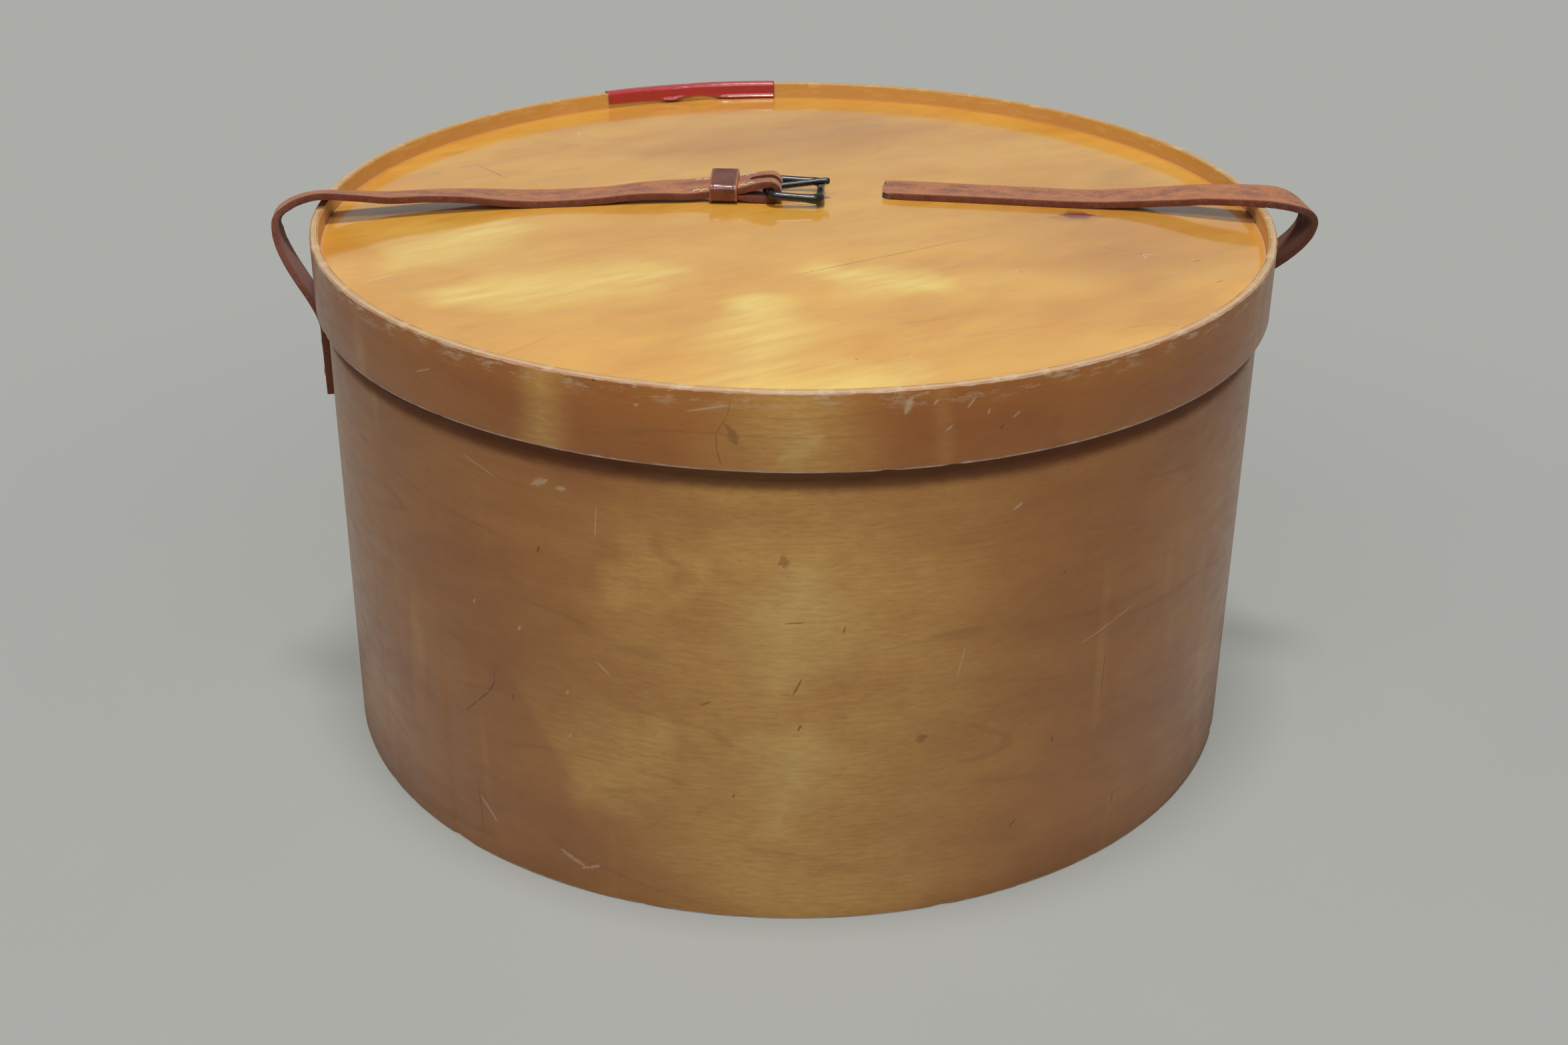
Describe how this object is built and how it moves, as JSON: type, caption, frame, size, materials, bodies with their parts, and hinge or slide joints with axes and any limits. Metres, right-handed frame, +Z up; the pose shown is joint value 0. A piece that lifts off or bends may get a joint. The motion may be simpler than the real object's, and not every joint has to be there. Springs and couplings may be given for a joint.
{
  "type": "wooden hatbox",
  "caption": "Round hatbox of bent plywood with a recessed slip-over lid, closed by a leather strap whose halves are riveted to the side wall, with a rod buckle and keeper.",
  "frame": {"origin": "middle of the base, on the floor", "axes": "+Z up, +X through the two strap tails towards the torn half of the strap, -Y towards the side that the picture shows"},
  "size_m": [0.4948, 0.4504, 0.2547],
  "materials": {
    "varnished_wood": "amber varnish, worn at the edges",
    "panel_wood": "golden varnish, semi-gloss",
    "plain_wood": "unvarnished",
    "vinyl_tape": "glossy, wrinkled",
    "strap_leather": "dry and dirty, fuzzy edges",
    "keeper_leather": "dark, polished by wear",
    "linen_thread": "waxed thread",
    "japanned_rod": "black japanning, glossy and lumpy",
    "japanned_prong": "black japanning, glossy and lumpy",
    "brass_rivet": "dull",
    "brass_washer": "dull"
  },
  "bodies": {
    "box": {"body_wall": "varnished_wood", "bottom_board": "plain_wood", "bottom_hoop": "plain_wood", "left_strap_tail": "strap_leather", "right_strap_tail": "strap_leather", "left_rivets": "brass_rivet", "right_rivets": "brass_rivet", "left_rivet_washers": "brass_washer", "right_rivet_washers": "brass_washer"},
    "lid": {"lid_rim": "varnished_wood", "lid_panel": "panel_wood", "lid_hoop": "plain_wood", "rim_tape": "vinyl_tape"},
    "left_riser": {"left_strap_riser": "strap_leather"},
    "left_strap": {"left_strap_run": "strap_leather", "keeper": "keeper_leather", "strap_stitches": "linen_thread"},
    "right_riser": {"right_strap_riser": "strap_leather"},
    "right_strap": {"right_strap_run": "strap_leather"},
    "buckle": {"buckle_frame": "japanned_rod"},
    "prong": {"buckle_prong": "japanned_prong"}
  },
  "joints": [
    {"name": "lid_lift", "type": "slide", "parent": "box", "child": "lid", "axis": [0, 0, 1], "range_m": [0, 0.045]},
    {"name": "left_riser_swing", "type": "hinge", "parent": "box", "child": "left_riser", "pos_m": [-0.224, 0, 0.2], "axis": [0, -1, 0], "range_deg": [0, 60]},
    {"name": "left_strap_swing", "type": "hinge", "parent": "left_riser", "child": "left_strap", "pos_m": [-0.2435, 0.021, 0.244], "axis": [0, -0.9119, 0.4104], "range_deg": [0, 150]},
    {"name": "right_riser_swing", "type": "hinge", "parent": "box", "child": "right_riser", "pos_m": [0.224, 0, 0.2], "axis": [0, 1, 0], "range_deg": [0, 60]},
    {"name": "right_strap_swing", "type": "hinge", "parent": "right_riser", "child": "right_strap", "pos_m": [0.25, -0.018, 0.24], "axis": [0, 0.9701, 0.2425], "range_deg": [0, 150]},
    {"name": "buckle_swing", "type": "hinge", "parent": "left_strap", "child": "buckle", "pos_m": [-0.006, 0.037, 0.24775], "axis": [-0.1736, -0.9848, 0], "range_deg": [0, 50]},
    {"name": "prong_swing", "type": "hinge", "parent": "buckle", "child": "prong", "pos_m": [-0.006, 0.037, 0.24775], "axis": [-0.1736, -0.9848, 0], "range_deg": [0, 85]}
  ],
  "couplings": [
    {"joint": "left_riser_swing", "follows": "lid_lift", "rad_per_m": 23.2},
    {"joint": "left_strap_swing", "follows": "lid_lift", "rad_per_m": 58.1},
    {"joint": "right_riser_swing", "follows": "lid_lift", "rad_per_m": 23.2},
    {"joint": "right_strap_swing", "follows": "lid_lift", "rad_per_m": 58.1}
  ]
}
